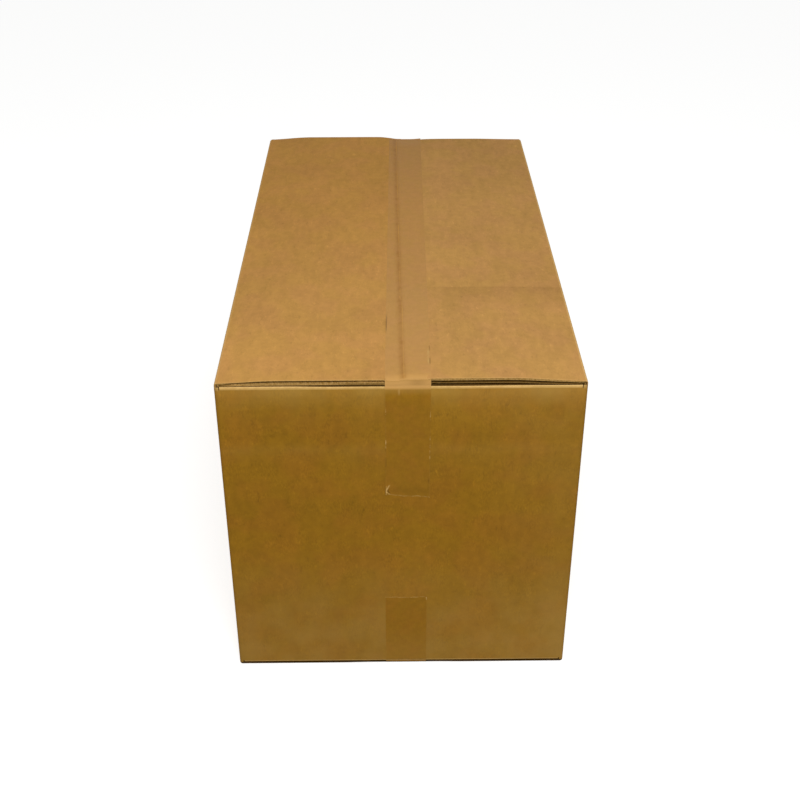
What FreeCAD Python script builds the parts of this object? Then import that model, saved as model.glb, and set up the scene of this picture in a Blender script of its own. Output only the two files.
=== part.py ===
import FreeCAD, Part
import os
import Sketcher

from FreeCAD import Placement, Rotation, Vector

# Driving sizes of the closed carton, in millimetres
SIZES = {
    "inside_length": 711,         # clear length between the end walls, 28 inches
    "inside_width": 381,          # clear width between the side walls, 15 inches
    "inside_depth": 381,          # clear depth between the inner flaps, 15 inches
    "board": 4,                   # thickness of the single-wall corrugated board
    "fold_radius": 1,             # radius on the inside of every fold
    "layer_gap": 0.3,             # air between an outer flap and the inner flap under it
    "outer_flap_setback": 3,      # from the face of an end wall to the cut edge of an outer flap
    "inner_flap_side_gap": 2,     # from a side wall to the cut side edge of an inner flap
    "slot_overrun": 1,            # how far the slots between flaps are cut past the folds
    "seam_gap": 1.2,              # between the two outer flaps along the middle of the box
    "seam_offset": 2,             # how far the seam lies to the right of the middle
    "top_swell": 4.5,             # how far the outer flaps on top stand up at the seam
    "top_level_half": 120,        # half width of the level middle of the top
    "bottom_hollow": 0.6,         # how far the bottom draws in along its seam
    "bottom_hollow_half": 42,     # half width of the drawn-in strip
    "bottom_ramp": 30,            # width of the gentle slope beside that strip
    "tab_width": 35,              # glued tab, from the face of the right side wall
    "tab_bevel": 12,              # how much the tab narrows at each end
    "glue_line": 0.15,            # glue between the tab and the back wall
    "joint_setback": 1.5,         # from the face of the right side wall to the back wall's cut edge
    "tape_width": 48,             # packing tape, 48 mm roll
    "tape_gauge": 0.1,            # thickness of the tape
    "tape_bed": 0.05,             # between the tape and the board it sticks to
    "top_tape_offset": 7,         # middle of the top tape from the middle of the box, at the front
    "top_tape_drift": 7.5,        # how much further right the top tape runs by the back
    "top_leg_front": 148,         # tape down the front wall, from the fold
    "top_leg_back": 128,          # tape down the back wall, from the fold
    "bottom_tape_offset": 5.5,    # middle of the bottom tape from the middle of the box
    "bottom_leg_front": 107,      # tape up the front wall, from the floor
    "bottom_leg_back": 86,        # tape up the back wall, from the floor
}

# The two faces of the box that flaps close, and the two sides of its seam
TOP = 1
BOTTOM = -1
RIGHT = 1
LEFT = -1


class Size:
    """A length, kept as a number together with the sheet expression that gives it."""

    def __init__(self, number, text):
        self.number = number
        self.text = text

    def __add__(self, other):
        other = as_size(other)
        return Size(self.number + other.number, f"({self.text} + {other.text})")

    def __sub__(self, other):
        other = as_size(other)
        return Size(self.number - other.number, f"({self.text} - {other.text})")

    def __mul__(self, factor):
        return Size(self.number * factor, f"({self.text} * {factor})")

    def __truediv__(self, divisor):
        return Size(self.number / divisor, f"({self.text} / {divisor})")

    def __neg__(self):
        return self * -1


def as_size(value):
    """A plain number is a size too."""
    return value if isinstance(value, Size) else Size(value, str(value))


def fill_sheet(document):
    """Writes the driving sizes to the sheet and gives each one back under its name."""
    sheet = document.addObject("Spreadsheet::Sheet", "sizes")
    sizes = {}
    for row, (name, number) in enumerate(SIZES.items(), start=1):
        sheet.set(f"A{row}", name)
        sheet.set(f"B{row}", str(number))
        sheet.setAlias(f"B{row}", name)
        sizes[name] = Size(number, f"sizes.{name}")
    document.recompute()
    return sizes


class Carton:
    """Lengths and levels that the board and both tapes share, worked out from the driving sizes."""

    def __init__(self, sizes):
        self.board = sizes["board"]
        self.half_width = sizes["inside_width"] / 2 + self.board
        self.half_length = sizes["inside_length"] / 2 + self.board
        self.inner_radius = sizes["fold_radius"]
        self.outer_radius = self.inner_radius + self.board

        # Heights of the outward faces of the inner flaps, then of the outer flaps at their folds
        # and at the seam
        low = self.board + sizes["bottom_hollow"] + sizes["layer_gap"]
        high = low + self.board * 2 + sizes["inside_depth"]
        self.inner_flap = {BOTTOM: low, TOP: high}
        self.outer_flap = {BOTTOM: as_size(0), TOP: high + sizes["layer_gap"] + self.board}
        self.seam = {BOTTOM: sizes["bottom_hollow"], TOP: self.outer_flap[TOP] + sizes["top_swell"]}

        # The walls end at the slots, just short of the folds of the inner flaps
        slot = self.outer_radius + sizes["slot_overrun"]
        self.wall_end = {BOTTOM: low + slot, TOP: high - slot}

        # All flaps of the blank are cut to one length, so that the outer ones meet
        self.flap_length = self.half_width
        self.tab_face = self.half_length - self.board - sizes["glue_line"]
        self.cut_edge = self.half_length - sizes["outer_flap_setback"]


# Sketching

def heading(start, end):
    """Unit step from one corner of an outline to the next, along the axis that it follows."""
    across = end[0].number - start[0].number
    up = end[1].number - start[1].number
    if abs(across) > abs(up):
        return (1 if across > 0 else -1, 0)
    return (0, 1 if up > 0 else -1)


def moved(point, direction, distance):
    """The point at a distance from another one, along an axis."""
    x, y = point
    if direction[0]:
        return (x + distance * direction[0], y)
    return (x, y + distance * direction[1])


def round_corners(corners):
    """Stops round an outline: each is a point, with the arc that leaves it if one does."""
    stops = []
    for index, (x, y, radius) in enumerate(corners):
        if radius is None:
            stops.append(((x, y), None))
            continue
        before = heading(corners[index - 1], corners[index])
        after = heading(corners[index], corners[(index + 1) % len(corners)])
        start = moved((x, y), before, -radius)
        turns_left = before[0] * after[1] - before[1] * after[0] > 0
        stops.append((start, (radius, moved(start, after, radius), turns_left)))
        stops.append((moved((x, y), after, radius), None))
    return stops


def as_vector(point):
    return Vector(point[0].number, point[1].number, 0)


def quarter_arc(start, end, centre, radius):
    """The arc that runs counter-clockwise from the first point to the second."""
    circle = Part.Circle(centre, Vector(0, 0, 1), radius)
    return Part.ArcOfCircle(circle, circle.parameter(start), circle.parameter(end))


def tie(sketch, name, constraint, size):
    """Adds a named constraint and binds its value to the sheet."""
    sketch.renameConstraint(sketch.addConstraint(constraint), name)
    sketch.setExpression(f"Constraints.{name}", size.text)


def draw_outline(sketch, label, corners):
    """Draws a closed outline and ties its points and radii to the sheet.

    A corner is its two coordinates and the radius that rounds it, or None where it is sharp.
    """
    stops = round_corners(corners)
    edges = []
    for index, (point, arc) in enumerate(stops):
        start = as_vector(point)
        end = as_vector(stops[(index + 1) % len(stops)][0])
        if arc is None:
            edges.append((sketch.addGeometry(Part.LineSegment(start, end)), 1, 2))
            continue
        radius, centre, turns_left = arc
        if turns_left:
            curve = quarter_arc(start, end, as_vector(centre), radius.number)
            edges.append((sketch.addGeometry(curve), 1, 2))
        else:
            curve = quarter_arc(end, start, as_vector(centre), radius.number)
            edges.append((sketch.addGeometry(curve), 2, 1))

    for index, (edge, first, last) in enumerate(edges):
        following, following_first, _ = edges[(index + 1) % len(edges)]
        sketch.addConstraint(Sketcher.Constraint("Coincident", edge, last, following, following_first))
        (x, y), arc = stops[index]
        name = f"{label}{index}"
        tie(sketch, f"{name}x", Sketcher.Constraint("DistanceX", -1, 1, edge, first, x.number), x)
        tie(sketch, f"{name}y", Sketcher.Constraint("DistanceY", -1, 1, edge, first, y.number), y)
        if arc is not None:
            tie(sketch, f"{name}r", Sketcher.Constraint("Radius", edge, arc[0].number), arc[0])


# Features

def new_body(document, name):
    body = document.addObject("PartDesign::Body", name)
    body.Label = name
    return body


def origin_plane(body, role):
    return next(plane for plane in body.Origin.OriginFeatures if plane.Role == role)


def sketch_on(body, name, plane, offset, outlines):
    """A sketch on one of the body's own origin planes, moved along that plane's normal."""
    sketch = body.newObject("Sketcher::SketchObject", name)
    sketch.AttachmentSupport = [(origin_plane(body, plane), "")]
    sketch.MapMode = "FlatFace"
    sketch.AttachmentOffset = Placement(Vector(0, 0, offset.number), Rotation())
    sketch.setExpression("AttachmentOffset.Base.z", offset.text)
    for label, corners in zip("abcd", outlines):
        draw_outline(sketch, label, corners)
    return sketch


def pad(body, name, plane, offset, corners, length):
    """Pads one outline by a length, along its plane's normal."""
    feature = body.newObject("PartDesign::Pad", name)
    feature.Profile = sketch_on(body, f"{name}_outline", plane, offset, [corners])
    feature.Length = length.number
    feature.setExpression("Length", length.text)
    return feature


def mirror(body, name, feature, plane):
    """Repeats a feature on the other side of one of the body's origin planes."""
    copy = body.newObject("PartDesign::Mirrored", name)
    copy.Originals = [feature]
    copy.MirrorPlane = (origin_plane(body, plane), [""])
    body.Tip = copy
    return copy


# The board, one folded and glued blank

def wall_outline(box, sizes):
    """Plan of the four walls: a strip that starts at the cut edge of the back wall, goes round
    the box, and turns in behind that wall at the glued corner."""
    x = box.half_width
    y = box.half_length
    cut = x - sizes["joint_setback"]
    root = x - box.outer_radius - box.inner_radius
    inner_x = x - box.board
    inner_y = y - box.board
    turned_in = box.tab_face
    return [
        (cut, y, None),
        (-x, y, box.outer_radius),
        (-x, -y, box.outer_radius),
        (x, -y, box.outer_radius),
        (x, turned_in, box.outer_radius),
        (root, turned_in, None),
        (root, turned_in - box.board, None),
        (inner_x, turned_in - box.board, box.inner_radius),
        (inner_x, -inner_y, box.inner_radius),
        (-inner_x, -inner_y, box.inner_radius),
        (-inner_x, inner_y, box.inner_radius),
        (cut, inner_y, None),
    ]


def tab_outline(box, sizes):
    """Front view of the tab, narrowed at both ends towards its free edge."""
    root = box.half_width - box.outer_radius - box.inner_radius
    free = box.half_width - sizes["tab_width"]
    return [
        (root, box.wall_end[BOTTOM], None),
        (root, box.wall_end[TOP], None),
        (free, box.wall_end[TOP] - sizes["tab_bevel"], None),
        (free, box.wall_end[BOTTOM] + sizes["tab_bevel"], None),
    ]


def outer_flap_outline(box, sizes, face, side):
    """Section of a long outer flap, from the end of its side wall, round the fold to the seam."""
    inward = box.board * -face
    fold = box.outer_flap[face]
    seam = box.seam[face]
    wall = box.half_width
    if face == TOP:
        slope_start = wall - box.outer_radius - box.inner_radius
        slope_end = sizes["top_level_half"]
    else:
        slope_start = sizes["bottom_hollow_half"] + sizes["bottom_ramp"]
        slope_end = sizes["bottom_hollow_half"]
    cut = sizes["seam_offset"] + sizes["seam_gap"] / 2 * side
    return [
        (wall * side, box.wall_end[face], None),
        (wall * side, fold, box.outer_radius),
        (slope_start * side, fold, None),
        (slope_end * side, seam, None),
        (cut, seam, None),
        (cut, seam + inward, None),
        (slope_end * side, seam + inward, None),
        (slope_start * side, fold + inward, None),
        ((wall - box.board) * side, fold + inward, box.inner_radius),
        ((wall - box.board) * side, box.wall_end[face], None),
    ]


def inner_flap_outline(box, face):
    """Section of a short inner flap, from the end of the front wall, round the fold to its edge."""
    inward = box.board * -face
    wall = -box.half_length
    outer = box.inner_flap[face]
    return [
        (wall, box.wall_end[face], None),
        (wall, outer, box.outer_radius),
        (wall + box.flap_length, outer, None),
        (wall + box.flap_length, outer + inward, None),
        (wall + box.board, outer + inward, box.inner_radius),
        (wall + box.board, box.wall_end[face], None),
    ]


def make_carton(document, sizes, box):
    """The folded blank: four walls and the glued tab, four inner flaps and four outer flaps."""
    body = new_body(document, "carton")
    wall_height = box.wall_end[TOP] - box.wall_end[BOTTOM]
    pad(body, "walls", "XY_Plane", box.wall_end[BOTTOM], wall_outline(box, sizes), wall_height)
    pad(body, "glued_tab", "XZ_Plane", -box.tab_face, tab_outline(box, sizes), box.board)

    # The XZ plane's normal points to the front, so an outer flap starts at its back edge. The
    # right side wall is shorter by the turn of the tab, and its flaps with it
    joint_edge = box.tab_face - sizes["outer_flap_setback"]
    back_edge = {LEFT: box.cut_edge, RIGHT: joint_edge}
    inner_half = box.half_width - box.board - sizes["inner_flap_side_gap"]
    for face, face_name in ((TOP, "top"), (BOTTOM, "bottom")):
        section = inner_flap_outline(box, face)
        front = pad(body, f"inner_flap_{face_name}", "YZ_Plane", -inner_half, section, inner_half * 2)
        mirror(body, f"inner_flap_{face_name}_back", front, "XZ_Plane")
        for side, side_name in ((LEFT, "left"), (RIGHT, "right")):
            section = outer_flap_outline(box, sizes, face, side)
            length = back_edge[side] + box.cut_edge
            pad(body, f"outer_flap_{face_name}_{side_name}", "XZ_Plane", -back_edge[side], section, length)
    return body


# The two strips of tape

def tape_outline(box, sizes, face, front_end, back_end):
    """Side view of a strip: along the seam, over both ends of the outer flaps, across the step
    down to the end walls, and along those walls to its two ends."""
    bed = sizes["tape_bed"]
    gauge = sizes["tape_gauge"]
    level = box.seam[face] + bed * face
    # The strip leaves the wall a little past the start of the fold and clears its roll
    turn = box.inner_flap[face] - box.outer_radius * 0.75 * face
    wall = box.half_length + bed
    edge = box.cut_edge + bed
    under = [
        (-wall, front_end, None),
        (-wall, turn, None),
        (-edge, level, None),
        (edge, level, None),
        (wall, turn, None),
        (wall, back_end, None),
    ]
    over = [
        (-wall - gauge, front_end, None),
        (-wall - gauge, turn, None),
        (-edge - gauge, level + gauge * face, None),
        (edge + gauge, level + gauge * face, None),
        (wall + gauge, turn, None),
        (wall + gauge, back_end, None),
    ]
    return under + over[::-1]


def drift_cuts(box, sizes, left):
    """Plans of the two slivers that leave a strip running askew between its ends."""
    drift = sizes["top_tape_drift"]
    reach = box.half_length + box.board
    right = left + sizes["tape_width"]
    spare = box.board
    return [
        [
            (left - spare, -reach, None),
            (left, -reach, None),
            (left + drift, reach, None),
            (left - spare, reach, None),
        ],
        [
            (right, -reach, None),
            (right + drift + spare, -reach, None),
            (right + drift + spare, reach, None),
            (right + drift, reach, None),
        ],
    ]


def make_top_tape(document, sizes, box):
    body = new_body(document, "top_tape")
    left = sizes["top_tape_offset"] - sizes["tape_width"] / 2
    front_end = box.outer_flap[TOP] - sizes["top_leg_front"]
    back_end = box.outer_flap[TOP] - sizes["top_leg_back"]
    outline = tape_outline(box, sizes, TOP, front_end, back_end)
    pad(body, "strip", "YZ_Plane", left, outline, sizes["tape_width"] + sizes["top_tape_drift"])
    drift = body.newObject("PartDesign::Pocket", "drift")
    drift.Profile = sketch_on(body, "drift_outline", "XY_Plane", as_size(0), drift_cuts(box, sizes, left))
    drift.Type = "ThroughAll"
    drift.Reversed = True
    return body


def make_bottom_tape(document, sizes, box):
    body = new_body(document, "bottom_tape")
    left = sizes["bottom_tape_offset"] - sizes["tape_width"] / 2
    outline = tape_outline(box, sizes, BOTTOM, sizes["bottom_leg_front"], sizes["bottom_leg_back"])
    pad(body, "strip", "YZ_Plane", left, outline, sizes["tape_width"])
    return body


# Checking and writing

def check(document, bodies):
    """Stops before anything is written if an object failed or a solid isn't sound."""
    for item in document.Objects:
        if {"Invalid", "Error"} & set(item.State):
            raise RuntimeError(f"{item.Label}: {item.State}")
    for body in bodies:
        shape = body.Shape
        if shape.isNull() or not shape.isValid() or len(shape.Solids) != 1:
            raise RuntimeError(f"{body.Label}: not one sound solid")


def main():
    document = FreeCAD.newDocument("closed_carton")
    sizes = fill_sheet(document)
    box = Carton(sizes)
    bodies = [
        make_carton(document, sizes, box),
        make_top_tape(document, sizes, box),
        make_bottom_tape(document, sizes, box),
    ]
    document.recompute()
    check(document, bodies)
    os.makedirs("parts", exist_ok=True)
    for body in bodies:
        body.Shape.exportStep(f"parts/{body.Label}.step")
        bounds = body.Shape.BoundBox
        print(
            f"{body.Label}: {body.Shape.Volume / 1000:.1f} cm3, x {bounds.XMin:.2f} {bounds.XMax:.2f}, "
            f"y {bounds.YMin:.2f} {bounds.YMax:.2f}, z {bounds.ZMin:.2f} {bounds.ZMax:.2f}"
        )


main()
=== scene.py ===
import math

import bpy
import numpy as np
from mathutils import Matrix, Vector


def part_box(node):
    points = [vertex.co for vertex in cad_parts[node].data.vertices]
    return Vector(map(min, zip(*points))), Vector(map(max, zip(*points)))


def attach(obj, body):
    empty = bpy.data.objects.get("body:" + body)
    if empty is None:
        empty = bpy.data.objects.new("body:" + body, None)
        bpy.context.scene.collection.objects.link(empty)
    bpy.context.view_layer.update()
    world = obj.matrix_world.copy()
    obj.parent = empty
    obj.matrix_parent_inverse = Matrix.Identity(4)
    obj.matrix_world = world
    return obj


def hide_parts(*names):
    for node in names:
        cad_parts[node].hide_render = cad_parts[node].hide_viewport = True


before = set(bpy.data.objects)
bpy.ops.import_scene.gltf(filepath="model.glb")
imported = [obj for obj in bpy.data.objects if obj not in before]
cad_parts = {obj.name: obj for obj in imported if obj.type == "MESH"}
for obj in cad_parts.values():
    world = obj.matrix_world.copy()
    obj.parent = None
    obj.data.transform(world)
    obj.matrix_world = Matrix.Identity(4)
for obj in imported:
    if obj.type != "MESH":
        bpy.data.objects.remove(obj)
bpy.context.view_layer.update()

mm = 0.001

# Everything below is worked out in millimetres in the frame's own axes: the front wall looks
# along -Y, the seam of the flaps runs along Y, and the box stands on Z = 0.
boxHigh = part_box("carton")[1] / mm
halfWidth = boxHigh.x
halfLength = boxHigh.y
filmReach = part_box("top_tape")[1].y / mm - 0.1
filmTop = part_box("top_tape")[1].z / mm - 0.1
top, bottom = 1, -1

carton = {
    "board": 4.0,  # thickness of the board
    "cornerRadius": 5.0,  # between the walls, outside
    "foldRadius": 3.2,  # sharpened by the press
    "leanRadius": 90.0,  # soft bend of a wall before its fold
    "leanTurn": {  # degrees
        "inner": {top: 14.0, bottom: 1.5},
        "outer": {top: 2.5, bottom: 1.5},
    },
    "topSwell": 4.5,  # most that the top stands above its folds
    "layerGap": 0.3,  # between outer and inner flaps
    "bottomHollow": 0.6,  # rise of the bottom along its seam
    "hollowHalf": 42.0,  # its half width
    "hollowRamp": 30.0,  # and fall off
    "setback": 3.3,  # outer flaps, from the face of an end wall
    "glueLine": 0.15,  # behind the back wall, in front of the tab
    "cutBack": 1.5,  # cut edge of the back wall, from the right face
    "tabReach": 35.0,  # from the right face
    "tabBevel": 12.0,
    "sideGap": 2.0,  # inner flaps, from the side walls
    "slotOverrun": 0.3,  # slots past the folds
    "slotStub": 3.2,  # wall corners that stand up in the slots
    "seamAt": 2.0,  # right of the middle
    "seamGap": 1.2,
    "coarse": 13.0,  # mesh size on plain board
    "fine": 3.0,  # and where it bends
}

board = carton["board"]
foldLevel = {
    ("outer", top): boxHigh.z - carton["topSwell"],
    ("inner", top): boxHigh.z - carton["topSwell"] - board - carton["layerGap"],
    ("outer", bottom): 0.0,
    ("inner", bottom): board + carton["bottomHollow"] + carton["layerGap"],
}
slotDepth = carton["foldRadius"] + carton["slotOverrun"]
wallEnd = {
    top: foldLevel["inner", top] - slotDepth,
    bottom: foldLevel["inner", bottom] + slotDepth,
}
topFold = foldLevel["outer", top]
innerFold = foldLevel["inner", top]
seamAt = carton["seamAt"]
tabFace = halfLength - board - carton["glueLine"]
innerFlapHalf = halfWidth - board - carton["sideGap"]
flapEdge = halfLength - carton["setback"]


# Small helpers

def unit(value):
    return np.clip(value, 0, 1)


def smooth(value):
    value = unit(value)
    return value * value * (3 - 2 * value)


def ramp(value, start, width, strength=1):
    # 0 at the start, full strength a width further on
    return strength * smooth((value - start) / width)


def bell(value, middle, width, strength=1):
    return strength * np.exp(-((value - middle) / width) ** 2)


def stacked(*values):
    return np.stack(values, axis=-1)


def waver(a, b, seed, size):
    # gentle unevenness from -1 to 1, its bumps about `size` apart
    total = 0
    for turn in range(5):
        angle = 2.4 * turn + 1.7 * seed
        pitch = size * (0.7 + 0.23 * turn)
        along = a * math.cos(angle) + b * math.sin(angle)
        total = total + np.sin(along * 2 * math.pi / pitch + 5.1 * seed + 1.3 * turn * turn)
    return total / 3.2


def run(*stops):
    # places along a line: stop, mesh size, stop, mesh size, ..., stop
    places = []
    for start, size, end in zip(stops[0::2], stops[1::2], stops[2::2]):
        count = max(1, round(abs(end - start) / size))
        places += list(np.linspace(start, end, count + 1)[:-1])
    return places + [stops[-1]]


def newObject(name, data):
    made = bpy.data.objects.new(name, data)
    bpy.context.scene.collection.objects.link(made)
    return made


# Camera and light

camera = {
    "place": (-12.6, -1035.2, 1048.2),  # from the front wall's foot
    "pitch": 30.814,
    "yaw": 0.6266,
    "roll": -0.082,
    "focal": 1182.9,  # pixels
    "centre": 357.0,  # picture row of the lens's axis
    "picture": 800.0,
}


def makeCamera():
    data = bpy.data.cameras.new("camera")
    made = newObject("camera", data)
    x, y, z = camera["place"]
    made.location = Vector((x, y - halfLength, z)) * mm
    pitch, roll, yaw = (math.radians(camera[name]) for name in ("pitch", "roll", "yaw"))
    turn = (Matrix.Rotation(-yaw, 3, "Z") @ Matrix.Rotation(math.pi / 2 - pitch, 3, "X")
            @ Matrix.Rotation(roll, 3, "Z"))
    made.rotation_euler = turn.to_euler()
    data.sensor_width = 36.0
    data.lens = camera["focal"] / camera["picture"] * data.sensor_width
    data.shift_y = camera["centre"] / camera["picture"] - 0.5
    bpy.context.scene.camera = made
    print("camera ready")


light = {
    "keyPower": 16.0,
    "keyPlace": (0.08, -1.1, 1.55),
    "keySize": 0.9,
    "keyAim": (0.0, -0.2, 0.3),
    "ambient": 0.42,
    "floor": (0.82, 0.82, 0.81, 1),
    "floorLift": 0.6,
    "floorReach": 12.0,
    "floorLevel": -0.0002,
}


def makeLight():
    data = bpy.data.lights.new("key", "AREA")
    data.energy = light["keyPower"]
    data.size = light["keySize"]
    key = newObject("key", data)
    key.location = light["keyPlace"]
    key.rotation_euler = (Vector(light["keyAim"]) - key.location).to_track_quat("-Z", "Y").to_euler()

    world = bpy.data.worlds.new("room")
    bpy.context.scene.world = world
    world.use_nodes = True
    tree = Tree(world.node_tree)
    path = tree.node("LightPath")
    seen = path["Is Camera Ray"]
    for kind in ("Glossy", "Transmission"):
        seen = tree.math("MAXIMUM", seen, path[f"Is {kind} Ray"])
    strength = tree.between(seen, 0.0, 1.0, light["ambient"], 1.0)
    backdrop = tree.node("Background", {"Color": (1, 1, 1, 1), "Strength": strength})
    tree.node("OutputWorld", {"Surface": backdrop["Background"]})
    bpy.context.scene.view_settings.view_transform = "Standard"
    print("light ready")


# Materials

class Tree:
    # a short way to write shader nodes
    def __init__(self, tree):
        self.tree = tree
        tree.nodes.clear()

    def new(self, kind):
        return self.tree.nodes.new("ShaderNode" + kind)

    def node(self, kind, inputs=None, **settings):
        made = self.new(kind)
        for name, value in settings.items():
            setattr(made, name, value)
        for name, value in (inputs or {}).items():
            self.feed(made.inputs[name], value)
        return made.outputs

    def joined(self, kind, *values):
        # inputs in order, as some share a name
        made = self.new(kind)
        for socket, value in zip(made.inputs, values):
            self.feed(socket, value)
        return made.outputs[0]

    def feed(self, socket, value):
        if isinstance(value, bpy.types.NodeSocket):
            self.tree.links.new(value, socket)
        else:
            socket.default_value = value

    def math(self, operation, a, b=0.0):
        result = self.joined("Math", a, b)
        result.node.operation = operation
        return result

    def times(self, a, b):
        return self.math("MULTIPLY", a, b)

    def plus(self, a, b):
        return self.math("ADD", a, b)

    def stretched(self, place, stretch):
        result = self.joined("VectorMath", place, stretch)
        result.node.operation = "MULTIPLY"
        return result

    def mixColor(self, factor, a, b, blend="MIX"):
        made = self.new("Mix")
        made.data_type, made.blend_type = "RGBA", blend
        for index, value in zip((0, 6, 7), (factor, a, b)):
            self.feed(made.inputs[index], value)
        return made.outputs[2]

    def tinted(self, color, tint):
        return self.mixColor(1.0, color, tint, "MULTIPLY")

    def toned(self, color, tone):
        # the colour times 1 + tone
        tone = self.plus(tone, 1.0)
        gray = self.node("CombineXYZ", {"X": tone, "Y": tone, "Z": tone})["Vector"]
        return self.tinted(color, gray)

    def between(self, value, low, high, toLow=0.0, toHigh=1.0):
        return self.node("MapRange", {"Value": value, "From Min": low, "From Max": high,
                                      "To Min": toLow, "To Max": toHigh},
                         interpolation_type="SMOOTHSTEP")["Result"]

    def noise(self, place, scale, detail, rough, *reach):
        # spread over a range, or else as bumps of a height
        inputs = {"Vector": place, "Scale": scale, "Detail": detail, "Roughness": rough}
        found = self.node("TexNoise", inputs)["Fac"]
        return self.times(found, *reach) if len(reach) == 1 else self.between(found, *reach)

    def mark(self, name, output="Fac"):
        # a value at the points of the mesh
        return self.node("Attribute", attribute_name=name)[output]

    def painted(self, color, name, paint, uneven=1.0):
        # another colour where a mark says so
        return self.mixColor(self.times(self.mark(name), uneven), color, paint)

    def byFacing(self, upright, level):
        # from upright faces to level ones
        normal = self.node("NewGeometry")["Normal"]
        facing = self.node("SeparateXYZ", {"Vector": normal})["Z"]
        return self.between(facing, 0.3, 0.98, upright, level)

    def surface(self, color, rough, shine, bump, height):
        normal = self.node("Bump", {"Strength": bump, "Distance": mm, "Height": height})["Normal"]
        shader = self.node("BsdfPrincipled", {"Base Color": color, "Roughness": rough,
                                              "Specular IOR Level": shine, "Normal": normal})
        self.node("OutputMaterial", {"Surface": shader["BSDF"]})


def newMaterial(name):
    material = bpy.data.materials.new(name)
    material.use_nodes = True
    return material, Tree(material.node_tree)


kraft = {
    "wall": (0.29, 0.139, 0.009, 1),  # shaded upright board
    "upper": (0.505, 0.266, 0.069, 1),  # paler top: painted light and sheen from above
    "pinkTint": (1.022, 0.975, 1.08, 1),  # clouds in the paper
    "oliveTint": (0.985, 1.012, 0.9, 1),
    "warm": (1.01, 0.965, 0.88, 1),  # tints of whole flaps
    "cool": (0.985, 0.995, 1.14, 1),
    "wornAndLit": (0.86, 0.56, 0.21, 1),  # rubbed folds, with their painted highlight
    "paintedLitColor": (0.4, 0.235, 0.055, 1),  # paler board for painted light on the walls: near the floor, high up and under the folds
    "deep": (0.08, 0.036, 0.002, 1),  # where no light gets in
    "core": (0.33, 0.18, 0.04, 1),  # cut edge and fluting
    "fuzz": (0.6, 0.37, 0.13, 1),  # torn fibres on a cut edge
    "rough": 0.8,
    "shine": 0.08,
    "cutRough": 0.9,
    "cutShine": 0.03,
    "flutePitch": 7.8,  # millimetres
    "fluteHeight": 0.008,
    "uprightGrain": (1.0, 0.4, 1.0, 1),  # how marks are drawn out
    "levelGrain": (0.45, 1.0, 1.0, 1),
    "levelStrokes": 0.5,  # share of their strength on level board
    "levelTone": 0.8,
}

# Noises in the paper: scale, detail, roughness, range, and what the range becomes
paper = {
    "broad": (8.0, 2.0, 0.5, 0.3, 0.7, -0.045, 0.045),
    "clouds": (22.0, 2.0, 0.5, 0.4, 0.62, 0.0, 1.0),
    # unevenness of the painted light
    "lightUnevenness": (24.0, 3.0, 0.5, 0.3, 0.7, 0.5, 1.0),
    "patches": (40.0, 2.0, 0.5, 0.44, 0.62, 0.15, 1.0),  # places with many strokes
    "mottle": (80.0, 3.0, 0.6, 0.36, 0.64, -0.05, 0.05),
    "blots": (120.0, 3.0, 0.65, 0.4, 0.6, -0.035, 0.035),
    "rubAndHighlightPatches": (160.0, 3.0, 0.5, 0.3, 0.7, 0.7, 1.0),
    "paleMarks": (190.0, 3.0, 0.65, 0.58, 0.72, 0.0, 0.17),
    "darkMarks": (190.0, 3.0, 0.65, 0.42, 0.28, 0.0, -0.15),
    "strokes": (560.0, 2.0, 0.6, 0.3, 0.7, -0.1, 0.1),
    "fuzz": (700.0, 3.0, 0.7, 0.3, 0.75, 0.0, 1.0),
    # bumps: scale, detail, roughness, height in millimetres
    "lumps": (120.0, 2.0, 0.5, 0.12),
    "fibres": (1400.0, 3.0, 0.5, 0.035),
    "cutFibres": (1800.0, 3.0, 0.7, 0.3),
}


def hued(tree, color):
    return tree.tinted(color, tree.mixColor(tree.mark("hue"), kraft["warm"], kraft["cool"]))


def cloudTint(tree, cloud, upright, level):
    # paled by a share on upright and level faces
    tint = tree.mixColor(cloud, kraft["oliveTint"], kraft["pinkTint"])
    return tree.mixColor(tree.byFacing(upright, level), tint, (1, 1, 1, 1))


def kraftMaterial():
    material, tree = newMaterial("kraft")
    flat = tree.mark("flat", "Vector")
    # clouds of tint, then tone at several sizes
    grain = tree.mixColor(tree.byFacing(0.0, 1.0), kraft["uprightGrain"], kraft["levelGrain"])
    drawn = tree.stretched(flat, grain)
    # lit and shaded copies of the board by facing: painted light on level faces, painted shade on upright
    # ones
    base = tree.mixColor(tree.byFacing(0.0, 1.0), kraft["wall"], kraft["upper"])
    base = tree.tinted(base, cloudTint(tree, tree.noise(flat, *paper["clouds"]), 0.0, 0.5))
    tone = tree.times(tree.noise(drawn, *paper["strokes"]), tree.noise(flat, *paper["patches"]))
    tone = tree.times(tone, tree.byFacing(1.0, kraft["levelStrokes"]))
    for place, name in ((drawn, "mottle"), (flat, "blots"), (drawn, "paleMarks"), (drawn, "darkMarks")):
        tone = tree.plus(tone, tree.noise(place, *paper[name]))
    tone = tree.times(tone, tree.byFacing(1.0, kraft["levelTone"]))
    color = hued(tree, tree.toned(base, tree.plus(tone, tree.noise(flat, *paper["broad"]))))
    # rubbed folds and their painted highlights
    color = tree.painted(color, "wearAndHighlight", kraft["wornAndLit"], tree.noise(flat, *paper["rubAndHighlightPatches"]))
    # painted light on the walls, made uneven
    color = tree.painted(color, "paintedLight", kraft["paintedLitColor"], tree.noise(flat, *paper["lightUnevenness"]))
    color = tree.painted(color, "dim", kraft["deep"])
    across = tree.node("SeparateXYZ", {"Vector": flat})["X"]
    flutes = tree.math("SINE", tree.times(across, 2 * math.pi / (kraft["flutePitch"] * mm)))
    height = tree.plus(tree.times(flutes, kraft["fluteHeight"]), tree.noise(flat, *paper["fibres"]))
    height = tree.plus(height, tree.noise(flat, *paper["lumps"]))
    tree.surface(color, kraft["rough"], kraft["shine"], 0.5, height)
    return material


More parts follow.
